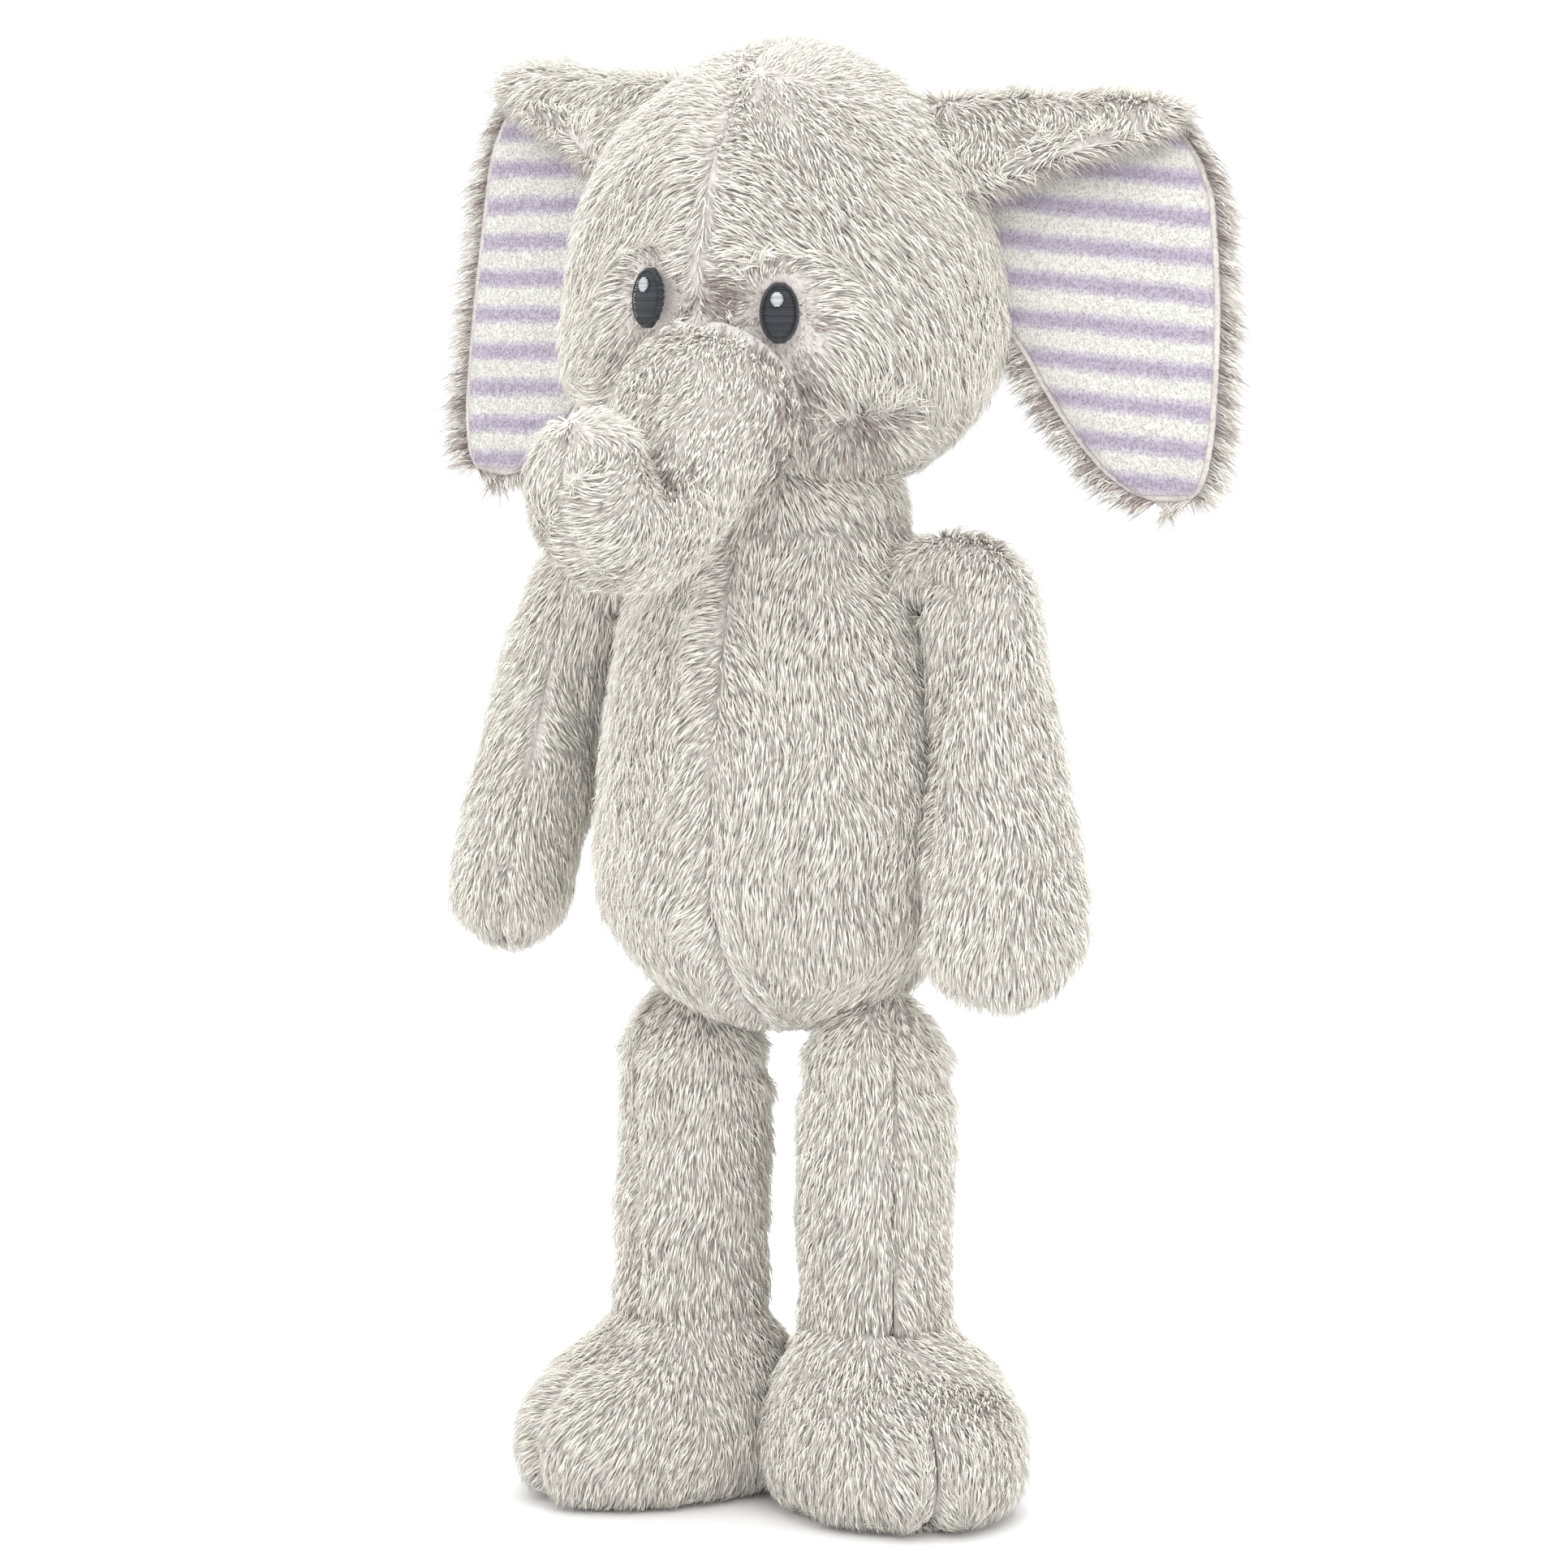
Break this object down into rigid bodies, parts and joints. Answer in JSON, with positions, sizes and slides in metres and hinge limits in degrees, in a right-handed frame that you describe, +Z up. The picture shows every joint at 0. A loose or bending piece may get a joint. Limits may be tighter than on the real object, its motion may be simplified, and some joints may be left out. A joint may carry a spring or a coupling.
{
  "type": "plush elephant",
  "caption": "Standing plush elephant toy with a curled trunk, big striped ears with folded tops, soft arms and legs, and frosted grey fur.",
  "frame": {"origin": "on the floor, at the middle of the area that the toy covers", "axes": "+Z up, the toy faces -Y, +X towards the toy's own left"},
  "size_m": [0.2197, 0.1985, 0.39],
  "materials": {
    "fur": "long frosted pile, light tips over taupe roots",
    "striped_lining": "short smooth pile with lavender and cream stripes",
    "eye_thread": "satin-stitched embroidery",
    "highlight_thread": "satin-stitched embroidery",
    "stitch_thread": "sewing thread",
    "stuffing": "loose polyester fibre"
  },
  "bodies": {
    "torso": {"body_front_left": "fur", "body_front_right": "fur", "body_back_left": "fur", "body_back_right": "fur", "body_stuffing": "stuffing"},
    "neck": {"neck_cover": "fur", "neck_stuffing": "stuffing"},
    "head": {"head_cover_left": "fur", "head_cover_right": "fur", "head_stuffing": "stuffing", "left_eye": "eye_thread", "right_eye": "eye_thread", "left_eye_highlight": "highlight_thread", "right_eye_highlight": "highlight_thread", "left_mouth_stitch": "stitch_thread", "right_mouth_stitch": "stitch_thread"},
    "trunk_base": {"trunk_base_left": "fur", "trunk_base_right": "fur", "trunk_base_stuffing": "stuffing"},
    "trunk_tip": {"trunk_tip_left": "fur", "trunk_tip_right": "fur", "trunk_tip_stuffing": "stuffing"},
    "left_ear": {"left_ear_back": "fur", "left_ear_lining": "striped_lining"},
    "right_ear": {"right_ear_back": "fur", "right_ear_lining": "striped_lining"},
    "left_arm": {"left_arm_outer": "fur", "left_arm_inner": "fur", "left_arm_stuffing": "stuffing"},
    "right_arm": {"right_arm_outer": "fur", "right_arm_inner": "fur", "right_arm_stuffing": "stuffing"},
    "left_leg": {"left_leg_outer": "fur", "left_leg_inner": "fur", "left_leg_stuffing": "stuffing", "left_foot_outer": "fur", "left_foot_inner": "fur", "left_foot_stuffing": "stuffing", "left_sole": "fur"},
    "right_leg": {"right_leg_outer": "fur", "right_leg_inner": "fur", "right_leg_stuffing": "stuffing", "right_foot_outer": "fur", "right_foot_inner": "fur", "right_foot_stuffing": "stuffing", "right_sole": "fur"},
    "tail": {"tail_cover": "fur", "tail_tuft": "fur"}
  },
  "joints": [
    {"name": "neck_turn", "type": "hinge", "parent": "torso", "child": "neck", "pos_m": [0, 0.034, 0.265], "axis": [0, 0, 1], "range_deg": [-35, 35]},
    {"name": "head_nod", "type": "hinge", "parent": "neck", "child": "head", "pos_m": [0, 0.034, 0.265], "axis": [1, 0, 0], "range_deg": [-18, 18]},
    {"name": "trunk_lift", "type": "hinge", "parent": "head", "child": "trunk_base", "pos_m": [0, -0.018, 0.295], "axis": [-0.9962, 0.0872, 0], "range_deg": [-15, 30]},
    {"name": "trunk_curl", "type": "hinge", "parent": "trunk_base", "child": "trunk_tip", "pos_m": [-0.00318, -0.05434, 0.2704], "axis": [-0.9962, 0.0872, 0], "range_deg": [-40, 12]},
    {"name": "left_ear_flap", "type": "hinge", "parent": "head", "child": "left_ear", "pos_m": [0.05, 0.0545, 0.347], "axis": [0.3464, 0.1261, -0.9296], "range_deg": [-25, 22]},
    {"name": "right_ear_flap", "type": "hinge", "parent": "head", "child": "right_ear", "pos_m": [-0.05, 0.0545, 0.347], "axis": [0.3464, -0.1261, 0.9296], "range_deg": [-25, 22]},
    {"name": "left_arm_swing", "type": "hinge", "parent": "torso", "child": "left_arm", "pos_m": [0.0573, 0.03, 0.24], "axis": [-1, 0, 0], "range_deg": [-50, 62]},
    {"name": "right_arm_swing", "type": "hinge", "parent": "torso", "child": "right_arm", "pos_m": [-0.0573, 0.03, 0.24], "axis": [-1, 0, 0], "range_deg": [-50, 62]},
    {"name": "left_leg_swing", "type": "hinge", "parent": "torso", "child": "left_leg", "pos_m": [0.027, 0.034, 0.115], "axis": [-1, 0, 0], "range_deg": [-25, 90]},
    {"name": "right_leg_swing", "type": "hinge", "parent": "torso", "child": "right_leg", "pos_m": [-0.027, 0.034, 0.115], "axis": [-1, 0, 0], "range_deg": [-25, 90]},
    {"name": "tail_lift", "type": "hinge", "parent": "torso", "child": "tail", "pos_m": [0, 0.0865, 0.168], "axis": [1, 0, 0], "range_deg": [-4, 70]}
  ]
}
